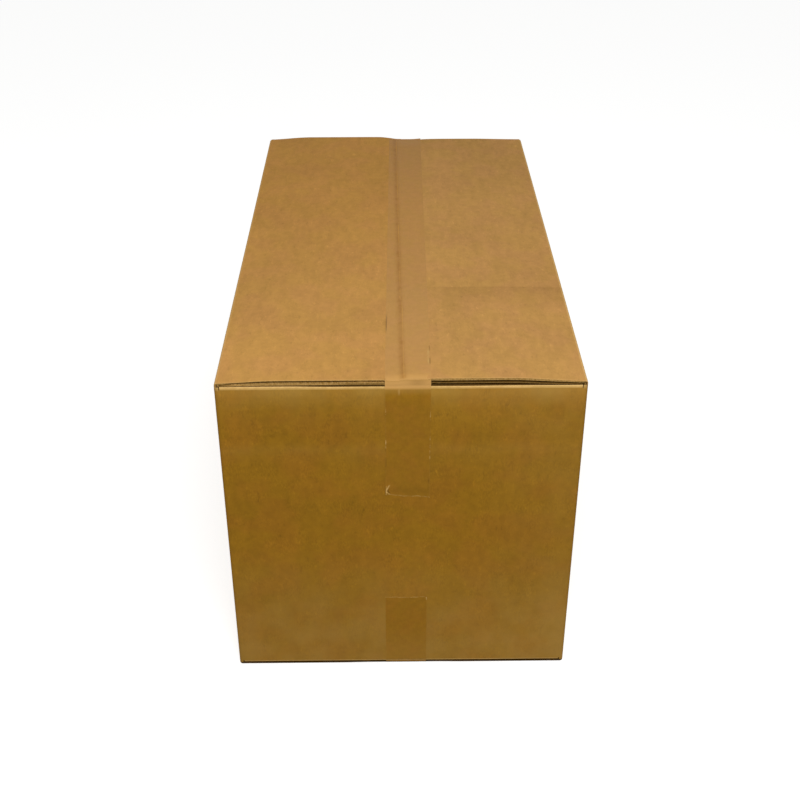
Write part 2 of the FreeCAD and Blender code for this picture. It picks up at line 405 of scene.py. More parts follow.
def cutMaterial():
    material, tree = newMaterial("cutBoard")
    flat = tree.mark("flat", "Vector")
    color = tree.mixColor(tree.noise(flat, *paper["fuzz"]), kraft["core"], kraft["fuzz"])
    color = tree.painted(color, "dim", kraft["deep"])
    height = tree.noise(flat, *paper["cutFibres"])
    tree.surface(color, kraft["cutRough"], kraft["cutShine"], 0.7, height)
    return material


tapeLook = {
    # shaded upright film and lit level film: painted shade and painted light, as on the board
    "wall": (0.28, 0.133, 0.0092, 1),
    "upper": (0.468, 0.243, 0.062, 1),
    "free": (0.58, 0.318, 0.097, 1),  # paler film off the board, with painted light on it
    # pale torn ends of the film, and painted highlights along its edges and folds
    "edge": (0.55, 0.34, 0.11, 1),
    "seam": (0.258, 0.097, 0.008, 1),  # painted shade over the seam
    "rough": 0.5,
    "shine": 0.06,
    "clouds": (34.0, 3.0, 0.6, 0.4, 0.62, 0.0, 1.0),  # noises as in the paper
    "mottle": (120.0, 3.0, 0.6, 0.3, 0.7, -0.06, 0.06),
    "strokes": (520.0, 2.0, 0.6, 0.3, 0.7, -0.03, 0.03),
    "strokeGrain": (1.0, 0.24, 1.0),
    "seamPatches": (70.0, 3.0, 0.6, 0.42, 0.7, 0.28, 0.5),
    "flecks": (150.0, 2.0, 0.6, 0.34, 0.56, 0.0, 1.0),
    "bumps": (260.0, 2.0, 0.5, 0.04),
}


def tapeMaterial():
    # film that lets the board's mottling through
    look = tapeLook
    material, tree = newMaterial("tape")
    flat = tree.mark("flat", "Vector")
    # painted light on level film, painted shade on upright film
    color = tree.mixColor(tree.byFacing(0.0, 1.0), look["wall"], look["upper"])
    color = tree.tinted(color, cloudTint(tree, tree.noise(flat, *look["clouds"]), 0.25, 0.6))
    strokes = tree.noise(tree.stretched(flat, look["strokeGrain"]), *look["strokes"])
    tone = tree.plus(tree.noise(flat, *look["mottle"]), strokes)
    color = hued(tree, tree.toned(color, tree.times(tone, tree.byFacing(1.0, 0.6))))
    # painted light, as on the board
    color = tree.painted(color, "paintedLight", kraft["paintedLitColor"])
    # paler film off the board, and painted light on it
    color = tree.painted(color, "free", look["free"])
    # painted shade over the seam
    color = tree.painted(color, "seamShade", look["seam"], tree.noise(flat, *look["seamPatches"]))
    # pale torn ends, and painted highlights on the film's edges
    color = tree.painted(color, "wearAndHighlight", look["edge"], tree.noise(flat, *look["flecks"]))
    color = tree.painted(color, "dim", kraft["deep"])
    tree.surface(color, look["rough"], look["shine"], 0.5, tree.noise(flat, *look["bumps"]))
    return material


def floorMaterial():
    # white to the camera, with the shadow kept
    material, tree = newMaterial("floor")
    plain = tree.node("BsdfDiffuse", {"Color": light["floor"]})["BSDF"]
    lift = tree.node("Emission", {"Color": (1, 1, 1, 1), "Strength": light["floorLift"]})
    shown = tree.joined("AddShader", plain, lift["Emission"])
    seen = tree.node("LightPath")["Is Camera Ray"]
    tree.node("OutputMaterial", {"Surface": tree.joined("MixShader", seen, plain, shown)})
    return material


def makeFloor():
    mesh = bpy.data.meshes.new("floor")
    reach = light["floorReach"]
    mesh.from_pydata([(-reach, -reach, 0), (reach, -reach, 0), (reach, reach, 0), (-reach, reach, 0)],
                     [], [(0, 1, 2, 3)])
    floor = newObject("floor", mesh)
    mesh.materials.append(floorMaterial())
    floor.location.z = light["floorLevel"]
    print("floor ready")


# The board's shape

unevenness = {
    "bow": 0.5,  # of the walls, inwards
    "ripple": 0.12,
    "creaseLevel": 329.0,  # crease across the front wall
    "creaseDepth": 0.36,
    "creaseWaver": 1.2,  # strays up or down
    "creaseAbove": 5.0,
    "creaseBelow": 13.0,
    "frontLeft": 2.9,  # rise of the top flaps at their ends
    "backLeft": 3.4,
    "frontRight": 4.4,
    "kneeRight": 1.5,  # where it bends over the inner flap
    "backRight": 1.4,
    "kneeCurve": 0.55,  # share of its fall right before the bend
    "seamStep": 0.3,  # left flap over the right one, at most
    "seamHold": 26.0,  # how wide it is held down
    "rampLeft": 62.0,  # how far from a fold the top keeps rising
    "rampRight": 82.0,
    "innerReach": 215.0,  # length of the inner flaps
    "pullAt": 17.0,  # where the tape pulls down the back
    "pullHalf": 21.0,
    "pullLength": 42.0,
    "pullDepth": 0.6,
    "crownRight": (60, 60, 0.6),  # rise of the front fold at its ends
    "crownLeft": (-100, -70, 0.7),
    "crownSpread": 0.9,  # into the slots
    "splay": 0.42,  # more thickness at the cut front edges
    "splayReach": 16.0,
    "splayFrom": (14, 45),  # from either side
}


def topRise(x, y):
    # how far the top flaps stand above their folds
    shape = unevenness
    fromFront = y + halfLength
    along = fromFront / (2 * halfLength)
    leftRise = shape["frontLeft"] + (shape["backLeft"] - shape["frontLeft"]) * along
    knee = unit(fromFront / shape["innerReach"])
    knee = (1 - shape["kneeCurve"]) * knee ** 1.5 + shape["kneeCurve"] * knee ** 7
    rightRise = shape["frontRight"] + (shape["kneeRight"] - shape["frontRight"]) * knee
    past = unit((fromFront - shape["innerReach"]) / (2 * halfLength - shape["innerReach"]))
    rightRise = rightRise + (shape["backRight"] - shape["kneeRight"]) * past
    # towards the back the tape holds the left flap down
    excess = np.clip(leftRise - rightRise - shape["seamStep"], 0, None)
    leftRise = leftRise - excess * smooth(1 - np.clip(seamAt - x, 0, None) / shape["seamHold"])
    fromFold = halfWidth - np.abs(x)
    rise = np.where(x < seamAt, leftRise * smooth(fromFold / shape["rampLeft"]),
                    rightRise * smooth(fromFold / shape["rampRight"]))
    ripple = waver(x, y, 3, 150) * shape["ripple"] * smooth(fromFold / 40)
    pull = 1 / (1 + ((x - shape["pullAt"]) / shape["pullHalf"]) ** 4)
    pull = pull * ramp(y, halfLength - shape["pullLength"], shape["pullLength"])
    risen = (rise + ripple) * (1 - pull) - shape["pullDepth"] * pull
    return np.clip(risen, -shape["pullDepth"], carton["topSwell"] - 0.05)


def bottomRise(x, y):
    lowered = ramp(np.abs(x - seamAt), carton["hollowHalf"], carton["hollowRamp"])
    return carton["bottomHollow"] * (1 - lowered)


def leanOf(kind, face):
    # a wall's turn before its fold, and how far below the fold it begins
    turn = math.radians(carton["leanTurn"][kind][face])
    return turn, carton["leanRadius"] * math.sin(turn) + carton["foldRadius"] * (1 - math.sin(turn))


def leanDepth(below, kind, face):
    # how far a wall leans in below its fold
    turn, reach = leanOf(kind, face)
    radius = carton["leanRadius"]
    into = np.clip(reach - below, 0, radius * math.sin(turn))
    return radius - np.sqrt(radius ** 2 - into ** 2)


def wallDepth(x, y, z, nx, ny):
    # how far a wall that faces nx, ny lies inside its plain place
    shape = unevenness
    lean = 0
    for kind, share in (("inner", np.abs(ny)), ("outer", np.abs(nx))):
        for face in (top, bottom):
            lean = lean + share * leanDepth(np.abs(foldLevel[kind, face] - z), kind, face)
    middle = (wallEnd[top] + wallEnd[bottom]) / 2
    upright = 1 - ((z - middle) / (wallEnd[top] - middle)) ** 2
    level = unit(1 - np.where(np.abs(ny) > 0.5, x / halfWidth, y / halfLength) ** 2)
    bow = shape["bow"] * unit(upright) * level
    ripple = shape["ripple"] * (1 + waver(x + y, z, 7, 170)) * smooth(level * 4) * unit(upright * 3)
    level = shape["creaseLevel"] + shape["creaseWaver"] * waver(x, 0 * x, 5, 220)
    reach = np.where(z > level, shape["creaseAbove"], shape["creaseBelow"])
    return lean + bow + ripple + bell(z, level, reach, shape["creaseDepth"]) * smooth(-ny)


def cornerArc(centre, start, radius):
    # stops round a corner of the plan, with where they face; two are where cut edges meet the walls
    edge = math.degrees(math.asin((radius - carton["setback"]) / radius))
    stops = []
    for turn in (8, 14, edge, 32, 45, 58, 90 - edge, 76, 82):
        angle = math.radians(start + turn)
        nx, ny = math.cos(angle), math.sin(angle)
        stops.append((centre[0] + radius * nx, centre[1] + radius * ny, nx, ny))
    return stops


def planStops():
    # the strip of the walls in plan: back, left, front, right, and the tab behind the back wall
    radius = carton["cornerRadius"]
    farX, farY = halfWidth - radius, halfLength - radius
    coarse, fine = carton["coarse"], carton["fine"]
    knee = halfLength - unevenness["innerReach"]
    turnY = tabFace - radius

    def endPlaces(last):
        return run(-farX, 2, -innerFlapHalf, fine, -innerFlapHalf + 12, coarse, innerFlapHalf - 12, fine,
                   innerFlapHalf, 2, last)

    def sidePlaces(last):
        return run(-farY, 1, -farY + 10, fine, -farY + 30, coarse, -knee - 15, fine, -knee + 15, coarse,
                   knee - 15, fine, knee + 15, coarse, last - 48, fine, last)

    stops = [(x, halfLength, 0, 1) for x in reversed(endPlaces(halfWidth - carton["cutBack"]))]
    stops += cornerArc((-farX, farY), 90, radius)
    stops += [(-halfWidth, y, -1, 0) for y in reversed(sidePlaces(farY))]
    stops += cornerArc((-farX, -farY), 180, radius)
    stops += [(x, -halfLength, 0, -1) for x in endPlaces(farX)]
    stops += cornerArc((farX, -farY), 270, radius)
    stops += [(halfWidth, y, 1, 0) for y in sidePlaces(turnY)]
    stops += cornerArc((farX, turnY), 0, radius)
    stops += [(x, tabFace, 0, 1) for x in run(farX, 4, halfWidth - carton["tabReach"])]
    return np.array(stops)


def foldTable(below, kind, face):
    # up a wall and round its fold: way walked, how far inwards, how far below the fold, turn
    lean, reach = leanOf(kind, face)
    leanRadius, radius = carton["leanRadius"], carton["foldRadius"]
    turn = math.asin(min(max(0.0, reach - below) / leanRadius, math.sin(lean)))
    depth = leanRadius * (1 - math.cos(turn))
    table = [(0.0, depth, below, turn)]
    stride = 0.02
    walked = 0.0
    while turn < math.pi / 2:
        walked += stride
        depth += stride * math.sin(turn)
        below -= stride * math.cos(turn)
        if below < reach:
            turn += stride / (leanRadius if turn < lean else radius)
        table.append((walked, depth, below, min(turn, math.pi / 2)))
    return np.array(table).T


def flapRows(kind, face, reach):
    # from the wall's end to the free edge
    walked, depth, below, turn = foldTable(abs(foldLevel[kind, face] - wallEnd[face]), kind, face)
    rows = np.linspace(0, walked[-1], 15)[1:]
    found = [np.interp(rows, walked, values) for values in (depth, below, turn)]
    begins = found[0][-1]
    level = run(begins, 2.5, begins + 5, carton["coarse"], reach - 40, 4, reach - 4, 2, reach)
    level = np.array(level[1:])
    levelPart = [rows[-1] + level - begins, level, 0 * level, 0 * level + math.pi / 2]
    return [np.concatenate(parts) for parts in zip([rows] + found, levelPart)]


flaps = {
    # kind, way its wall faces, from and to along the wall
    "back": ("inner", (0, 1), -innerFlapHalf, innerFlapHalf),
    "left": ("outer", (-1, 0), -flapEdge, flapEdge),
    "front": ("inner", (0, -1), -innerFlapHalf, innerFlapHalf),
    "right": ("outer", (1, 0), -flapEdge, tabFace - carton["setback"]),
}


class Sheet:
    # the board's outer face, being folded
    def __init__(self):
        self.blocks = []
        self.faces = []

    def add(self, places, flat, wearAndHighlight):
        first = len(self.points()[0]) if self.blocks else 0
        self.blocks.append((places.reshape(-1, 3), flat.reshape(-1, 3), wearAndHighlight.reshape(-1)))
        return (first + np.arange(wearAndHighlight.size)).reshape(wearAndHighlight.shape)

    def span(self, numbers, face=top):
        # faces between the points of a grid
        a, b = numbers[:-1, :-1], numbers[1:, :-1]
        c, d = numbers[1:, 1:], numbers[:-1, 1:]
        quads = stacked(a, b, c, d) if face == top else stacked(d, c, b, a)
        self.faces.append(quads.reshape(-1, 4))

    def points(self):
        # places, flat places, and rubbed wear with painted highlights so far
        return [np.concatenate(parts) for parts in zip(*self.blocks)]


def addWalls(sheet, plan, along):
    low, high = wallEnd[bottom], wallEnd[top]
    crease, coarse = unevenness["creaseLevel"], carton["coarse"]
    rows = run(low, 1.5, low + 6, coarse, crease - 22, 2.2, crease + 22, coarse, high - 9, 1.5, high)
    rows = np.array(rows)
    x, y, nx, ny = (column[:, None] + 0 * rows[None, :] for column in plan.T)
    z = 0 * x + rows[None, :]
    middle = (low + high) / 2
    onTab = ramp(x, halfWidth - carton["cornerRadius"], -26) * (y == tabFace)
    z = middle + (z - middle) * (1 - onTab * carton["tabBevel"] / (high - middle))
    turned = np.degrees(np.arctan2(np.abs(ny), np.abs(nx)))
    flapStart = math.degrees(math.asin(1 - carton["setback"] / carton["cornerRadius"]))
    stub = unit(5 * np.sin(math.pi * unit((turned - flapStart) / (90 - flapStart))))
    z[:, -1] += carton["slotStub"] * stub[:, -1]
    z[:, 0] -= carton["slotStub"] * stub[:, 0]
    inside = (y >= tabFace - 0.01) & (y < halfLength - 0.01) & (x > 0)
    depth = np.where(inside, 0, wallDepth(x, y, z, nx, ny))
    places = stacked(x - nx * depth, y - ny * depth, z)
    flat = stacked(along[:, None] + 0 * z, z, 0 * z)
    wearAndHighlight = 0 * z
    # painted highlight of the fold crest, carried onto the stubs
    wearAndHighlight[:, -1] = 0.8 * stub[:, -1]
    numbers = sheet.add(places, flat, wearAndHighlight)
    sheet.span(numbers)
    return numbers, rows


def addFlap(sheet, name, face, plan, along, walls, rows):
    kind, (nx, ny), start, end = flaps[name]
    place = plan[:, 0] * abs(ny) + plan[:, 1] * abs(nx)
    facing = plan[:, 2] * nx + plan[:, 3] * ny
    columns = np.nonzero((facing > 0.8) & (place > start - 0.01) & (place < end + 0.01))[0]
    columns = columns[np.abs(plan[columns, 1] - tabFace) > 0.01]
    seam = seamAt + {"left": -0.5, "right": 0.5}.get(name, 0) * carton["seamGap"]
    reach = halfWidth - nx * seam if kind == "outer" else halfWidth
    walked, depth, below, turn = [row[None, :] for row in flapRows(kind, face, reach)]
    x = plan[columns, 0][:, None] - nx * depth
    y = plan[columns, 1][:, None] - ny * depth
    z = foldLevel[kind, face] - face * (below + 0 * x)
    onFlat = ramp(turn / (math.pi / 2), 0.8, 0.2)
    if kind == "outer":
        z = z + (topRise(x, y) - pressed(x, y) if face == top else bottomRise(x, y)) * onFlat
    starting = walls[columns, -1 if face == top else 0]
    drawnIn = np.linalg.norm(sheet.points()[0][starting][:, :2] - plan[columns, :2], axis=1)
    first = leanDepth(abs(foldLevel[kind, face] - wallEnd[face]), kind, face)
    extra = (drawnIn - first)[:, None] * unit(1 - walked / 12)
    x, y = x - nx * extra, y - ny * extra
    if name == "front" and face == top:
        crown = np.sin(turn) * (1 - ramp(depth, 2.6, 2.5))
        z = z + crown * (ramp(x, *unevenness["crownRight"]) + ramp(x, *unevenness["crownLeft"]))
        x = x + crown * unevenness["crownSpread"] * np.sign(x) * (np.abs(x) > innerFlapHalf - 0.1)
    level = rows[-1] if face == top else rows[0]
    flat = stacked(along[columns][:, None] + 0 * z, level + face * walked + 0 * z, 0 * z)
    # rubbed fold crests with a painted highlight, more on the right
    wearAndHighlight = unit(np.sin(turn * 2)) ** 0.8 * (1 + ramp(x, *boardLook["rubAndHighlightRight"]))
    if face == bottom:
        # bottom folds: a painted highlight on the rolled fold, with some rub
        wearAndHighlight = bell(turn, *boardLook["footRubAndHighlight"]) + 0 * z
    numbers = sheet.add(stacked(x, y, z), flat, wearAndHighlight * boardLook["foldRubAndHighlight"][kind])
    sheet.span(np.concatenate([starting[:, None], numbers], axis=1), face)


def unitRows(vectors):
    return vectors / (np.linalg.norm(vectors, axis=1)[:, None] + 1e-12)


def gathered(faces, values, count):
    # what the faces round each point add up to
    total = np.zeros((count, 3))
    for corner in range(4):
        np.add.at(total, faces[:, corner], values)
    return total


def vertexNormals(places, faces):
    across = places[faces[:, 2]] - places[faces[:, 0]]
    up = places[faces[:, 3]] - places[faces[:, 1]]
    return unitRows(gathered(faces, unitRows(np.cross(across, up)), len(places)))


def rimEdges(faces):
    # edges that only one face has
    seen = {(a, b): True for quad in faces for a, b in zip(quad, np.roll(quad, -1))}
    return [(a, b) for a, b in seen if (b, a) not in seen]


def rimInward(places, normals, faces, numbers):
    # the way into the board from its rim
    total = gathered(faces, places[faces].mean(axis=1), len(places))
    count = np.bincount(faces.ravel(), minlength=len(places))
    way = total[numbers] / count[numbers][:, None] - places[numbers]
    normal = normals[numbers]
    return unitRows(way - normal * (way * normal).sum(axis=1)[:, None])


cutEdge = {
    # share of the thickness, and its hollow
    "profile": [(0.0, None), (0.1, None), (0.14, "upper"), (0.47, "upper"), (0.53, "lower"),
                (0.87, "lower"), (0.91, None), (1.0, None)],
    "open": 2.6,  # hollow between flutes
    "shut": 0.35,  # where a flute meets the cut
    "torn": 7.0,  # where the layers have come apart
    "tornFrom": (12, 25),  # from the left end
    "tornLeast": 0.35,  # share left at the seam
    "tornMore": (-20, -50, 0.65),
}

# How much painted shade those edges get
cutLook = {
    "from": (10, 22),  # from the left end
    "least": 0.2,
    "more": (-24, -58, 0.8),
    "hollow": 0.97,
    "below": 0.16,
    "notch": (-187.5, 2.8, 0.95),
    "beneath": (-82, 30, 0.7),
    "hidden": (0.12, 0.97, 0.8),  # right flap: over, in and under its hollow
}


def frontEdges(y, z):
    return (y < -flapEdge + 0.6) & (z > topFold - 1.5)


def cutDepths(places):
    # torn hollows: the upper one on the left flap, the lower one on the right
    x, y, z = places.T
    drift = 0.5 + 0.5 * waver(x, y + z, 2, 240)
    shut, opened, torn = cutEdge["shut"], cutEdge["open"], cutEdge["torn"]
    upper = shut + (opened - shut) * drift
    lower = shut + (opened - shut) * (1 - drift)
    fade = cutEdge["tornLeast"] + ramp(x, *cutEdge["tornMore"])
    fade = fade * ramp(x + halfWidth, *cutEdge["tornFrom"])
    onLeft = x < seamAt
    front = frontEdges(y, z)
    upper = np.where(front, np.where(onLeft, shut + (torn - shut) * fade, shut), upper)
    lower = np.where(front, np.where(onLeft, shut, torn), lower)
    return {"upper": upper, "lower": lower}


def cutShade(places, share):
    # how much painted shade a ring round the rim gets
    x, y, z = places.T
    look = cutLook
    fade = ramp(x + halfWidth, *look["from"]) * (look["least"] + ramp(x, *look["more"]))
    hollow = look["hollow"] * (0.12 < share < 0.5) + look["below"] * (share >= 0.5)
    notch = (share > 0.45) * bell(x, *look["notch"])
    beneath = (share > 0.86) * ramp(x, *look["beneath"])
    above, inside, below = look["hidden"]
    hidden = above * (share < 0.5) + inside * (0.5 < share < 0.9) + below * (share >= 0.9)
    return frontEdges(y, z) * np.where(x < seamAt, np.maximum(hollow * fade, notch + beneath), hidden)


# Painted light, painted shade, and rubbed places with painted highlights on the board: where a ramp
# begins, its width and strength, or the middle of a band, its half width and strength
boardLook = {
    # painted light on the walls: bounce light near the floor, more light high up, under the folds, on the
    # right and in bands
    "footLight": (200, -180, 0.5),
    "headLight": (0, 60, 0.14),  # over the crease
    "foldLight": (-23, 20, 0.43),  # under the fold
    "rightLight": (70, 110, 0.16),
    "creaseLight": (-14, 8, 0.12),  # band under the crease
    "frontLight": (308, 32, 0.06),  # band lower down
    "frontLightFrom": (-90, 60),
    "gapDim": 0.93,  # painted shade between inner and outer flaps
    "gapLeast": 0.4,  # less of it far left
    "gapMore": (-120, 45, 0.6),
    # painted shade under the box
    "underDim": 0.9,
    "bendShade": (75, -75, 0.125),  # in front of the right flap's bend
    "bendLine": (2, 2.5, 0.05),
    "bendFrom": (30, 25),
    "lowShade": (292, -55, 0.045),  # lower part of the walls
    "lowBand": (220, 35, 0.025),
    "leftFrom": (60, -110),  # more shade on the left
    "leftLow": 0.03,
    "leftHigh": (250, 40, 0.015),
    "backShade": (0.1, 0.9, 0.05),  # far end of the top, in half lengths
    "backRight": (10, 110, 0.8),  # less of it on the right
    "backLeft": (-250, 250, 0.02),
    "pinkRight": 0.4,  # hues of the top
    "yellowBack": (-250, 400, 0.5),
    "rubAndHighlightRight": (90, 50, 0.4),  # front fold
    "foldRubAndHighlight": {"inner": 1.0, "outer": 0.45},
    "footRubAndHighlight": (0.35, 0.3, 0.8),  # by the turn of a bottom fold
    "linerEdge": (2.5, 0.22),  # painted highlight on the front edge of the top: width, strength
    "cutRubAndHighlight": 0.4,
}


def boardMarks(places, normals):
    # where the board gets painted light and where painted shade
    x, y, z = places.T
    look = boardLook
    upright = np.abs(normals[:, 2]) < 0.6
    front = upright * smooth(-normals[:, 1])
    overCrease = z - unevenness["creaseLevel"]
    paintedLight = ramp(z, *look["footLight"]) + ramp(overCrease, *look["headLight"])
    paintedLight = upright * (paintedLight + ramp(z - innerFold, *look["foldLight"]))
    band = bell(z, *look["frontLight"]) * ramp(x, *look["frontLightFrom"])
    paintedLight = paintedLight + front * (ramp(x, *look["rightLight"]) + bell(overCrease, *look["creaseLight"]) + band)

    # painted shade in the gap between inner and outer flaps, and under the box
    between = (z > innerFold - 6) & (z < innerFold + 0.3) & (np.abs(x) < halfWidth - 5)
    between &= np.abs(y) < halfLength - carton["foldRadius"] - 0.3
    share = np.where(x < seamAt, look["gapLeast"] + ramp(x, *look["gapMore"]), 1)
    under = (z < board + 0.8) & (np.abs(y) < halfLength - 1.5) & (np.abs(x) < halfWidth - 1.5)
    dim = np.maximum(look["gapDim"] * between * share, look["underDim"] * under)
    onTop = z > topFold - 0.5
    knee = unevenness["innerReach"] - (y + halfLength)
    bent = ramp(knee, 0, 2.5) * ramp(knee, *look["bendShade"]) + bell(knee, *look["bendLine"])
    dim = np.maximum(dim, onTop * (x > seamAt) * bent * ramp(x, *look["bendFrom"]))
    left = ramp(x, *look["leftFrom"])
    low = ramp(z, *look["lowShade"]) * (1 + left * look["leftLow"] / look["lowShade"][2])
    low = low + bell(z, *look["lowBand"]) + left * ramp(z, *look["leftHigh"])
    dim = np.maximum(dim, upright * low)
    back = backShade(y) * (1 - ramp(x, *look["backRight"])) + (x < seamAt) * ramp(y, *look["backLeft"])
    # the right flap on top is a little pinker, the far end of the left one yellower
    right = ramp(x, seamAt, 8)
    tint = look["pinkRight"] * right - (1 - right) * ramp(y, *look["yellowBack"])
    hue = 0.5 + ramp(z, innerFold, 4) * tint
    return {"paintedLight": paintedLight, "dim": np.maximum(dim, onTop * back), "hue": hue}


def backShade(y):
    # the far end of the top lies a little deeper in shade
    return ramp(y / halfLength, *boardLook["backShade"])


def thickness(places):
    # more where the layers have opened at the cut front edges
    x, y, z = places.T
    opened = (z > topFold - 1) * smooth(1 - (y + flapEdge) / unevenness["splayReach"])
    opened = opened * ramp(halfWidth - np.abs(x), *unevenness["splayFrom"])
    return board * (1 + opened * unevenness["splay"])[:, None]


def makeCarton():
    plan = planStops()
    gaps = np.linalg.norm(np.diff(plan[:, :2], axis=0), axis=1)
    along = np.concatenate([[0], np.cumsum(gaps)])
    sheet = Sheet()
    walls, rows = addWalls(sheet, plan, along)
    for name in flaps:
        for face in (top, bottom):
            addFlap(sheet, name, face, plan, along, walls, rows)
    places, flat, wearAndHighlight = sheet.points()
    faces = np.concatenate(sheet.faces)
    normals = vertexNormals(places, faces)
    print("board folded:", len(faces), "faces")

    count = len(places)
    thick = thickness(places)
    inner = places - normals * thick
    rim = rimEdges(faces)
    rimNumbers = np.array(sorted({a for a, _ in rim}))
    inward = rimInward(places, normals, faces, rimNumbers)
    rimPlaces = places[rimNumbers]
    depths = cutDepths(rimPlaces)
    plain = 0 * wearAndHighlight
    layers = [(places, flat, wearAndHighlight, plain), (inner, flat + (0, 0, 7), plain, plain)]
    rings = []
    total = 2 * count
    for share, hollow in cutEdge["profile"]:
        if share in (0.0, 1.0):
            rings.append({number: number + (0 if share == 0.0 else count) for number in rimNumbers})
            continue
        into = depths[hollow][:, None] if hollow else 0.0
        ring = rimPlaces - normals[rimNumbers] * thick[rimNumbers] * share + inward * into
        # rubbed top liner of the cut edges, with a painted highlight
        rubbed = 0 * rimNumbers + (boardLook["cutRubAndHighlight"] if share < 0.2 else 0.0)
        flatRing = flat[rimNumbers] + (0, 0, board * share)
        layers.append((ring, flatRing, rubbed, cutShade(rimPlaces, share)))
        rings.append({number: total + index for index, number in enumerate(rimNumbers)})
        total += len(rimNumbers)
    quads = [tuple(quad) for quad in faces] + [tuple(quad[::-1] + count) for quad in faces]
    kinds = [0] * len(quads)
    for outerRing, innerRing in zip(rings, rings[1:]):
        for a, b in rim:
            quads.append((outerRing[b], outerRing[a], innerRing[a], innerRing[b]))
            kinds.append(1)
    normals = np.concatenate([normals, -normals] + [normals[rimNumbers]] * (len(layers) - 2))
    places, flat, wearAndHighlight, shade = [np.concatenate(parts) for parts in zip(*layers)]
    places = np.clip(places, (-halfWidth, -halfLength, 0), (halfWidth, halfLength, boxHigh.z))
    marks = boardMarks(places, normals)
    # painted highlight along the front edge of the top
    width, paleness = boardLook["linerEdge"]
    liner = (places[:, 2] > topFold - 1) * (normals[:, 2] > 0.5)
    marks["wearAndHighlight"] = wearAndHighlight + paleness * liner * smooth(1 - (places[:, 1] + flapEdge) / width)
    marks["dim"] = np.maximum(marks["dim"], shade)
    made = makeMesh("cartonBoard", places, quads, flat, marks, [kraftMaterial(), cutMaterial()], kinds)
    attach(made, "root")
    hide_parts("carton")
    print("carton ready:", len(quads), "faces")


def makeMesh(name, places, faces, flat, marks, materials, kinds=None):
    mesh = bpy.data.meshes.new(name)
    mesh.from_pydata((places * mm).tolist(), [], faces)
    for material in materials:
        mesh.materials.append(material)
    if kinds is not None:
        mesh.polygons.foreach_set("material_index", kinds)
    layer = mesh.attributes.new("flat", "FLOAT_VECTOR", "POINT")
    layer.data.foreach_set("vector", (flat * mm).astype(np.float32).ravel())
    for mark, values in marks.items():
        layer = mesh.attributes.new(mark, "FLOAT", "POINT")
        layer.data.foreach_set("value", values.astype(np.float32))
    mesh.validate()
    mesh.shade_smooth()
    mesh.set_sharp_from_angle(angle=math.radians(38))
    return newObject(name, mesh)


# The tapes

tape = {
    "width": 48.0,
    "gauge": 0.08,
    "bed": 0.04,  # between the film and the board
    "line": {top: (7.0, 7.5), bottom: (5.5, 0.0)},  # middle at the front, drift to the back
    # heights of the torn ends at the front and at the back
    "ends": {top: {-1: 252.8, 1: 271.0}, bottom: {-1: 106.2, 1: 85.0}},
    "endSlope": 0.085,  # of the front end on top, per millimetre
    "tear": 0.9,  # how ragged a torn end is
    "tent": 6.0,  # slope beside the higher flap
    "sag": 0.22,  # into the seam
    "stepSag": 0.3,  # over the step to the cut edges
    "press": 1.3,  # crushes the flaps' front edge
    "pressReach": 11.0,
}

# Edges of the film that have come off: side, from and to along it, how high, how far in
lifted = {
    "topTape": [(-1, -2, 14, 1.6, 5.0), (-1, 60, 66, 0.9, 2.4), (-1, 68, 74, 0.9, 2.4),
                (-1, 106, 114, 0.9, 2.4), (1, 50, 54, 0.5, 1.6), (1, 56, 61, 0.6, 1.8),
                (1, 64, 68, 0.5, 1.6), (1, 74, 79, 0.5, 1.6), (1, 96, 111, 0.5, 1.8),
                (-1, 245, 288, 0.6, 2.2)],
    "bottomTape": [(1, -4, 5, 0.5, 4.0)],
}


def tapeCentre(face, y):
    offset, drift = tape["line"][face]
    return offset + drift * (y + halfLength) / (2 * halfLength)


def pressed(x, y):
    across = np.abs(x - tapeCentre(top, -halfLength)) / (tape["width"] / 2)
    return tape["press"] * smooth(1 - (y + flapEdge) / tape["pressReach"]) * smooth((1 - across) * 12)


def tapeTopSurface(x, y):
    # the film over both flaps makes a small slope beside the higher one
    edge = carton["seamGap"] / 2
    here = topRise(x, y)
    leftEdge = topRise(0 * x + seamAt - edge - 0.01, y)
    rightEdge = topRise(0 * x + seamAt + edge, y)
    higher = np.maximum(leftEdge, rightEdge)
    away = np.where(leftEdge < rightEdge, seamAt + edge - x, x - (seamAt - edge))
    tented = higher - (higher - np.minimum(leftEdge, rightEdge)) * smooth(away / tape["tent"])
    inGap = np.abs(x - seamAt) < tape["tent"] + edge
    sunk = bell(x, seamAt, 1.8, tape["sag"]) * (0.8 + 0.2 * waver(0 * x, y, 9, 60))
    return np.where(inGap, np.maximum(here, tented) - sunk, here)


def endWallFace(x, z, side):
    # where an end wall lies along Y
    return side * (halfLength - wallDepth(x, side * halfLength + 0 * x, z, 0 * x, side + 0 * x))


def tapeColumns(face):
    half = tape["width"] / 2
    columns = run(-half, 0.6, -half + 7.8, 2.1, half - 4.8, 0.6, half)
    if face == top:
        seam = seamAt - tape["line"][top][0]
        columns = [column for column in columns if not -9 < column - seam < 7]
        columns += [seam + step for step in (-8, -6.5, -5.2, -4.2, -3.3, -2.5, -1.9, -1.3, -0.8, -0.4, 0,
                                             0.4, 0.8, 1.3, 1.9, 2.5, 3.3, 4.4, 6)]
    return np.array(sorted(columns))


def legRows(endLevel, fromLevel):
    # heights from the torn end to where the film leaves the wall
    crease = unevenness["creaseLevel"]
    if endLevel < crease - 30 < fromLevel:
        return np.array(run(endLevel, 0.8, endLevel + 16, 2.0, crease - 25, 1.6, crease + 25, 2.2,
                            fromLevel - 12, 0.8, fromLevel))
    step = 1 if fromLevel > endLevel else -1
    return np.array(run(endLevel, 0.8, endLevel + 6 * step, 5.0, fromLevel - 12 * step, 1.2, fromLevel))


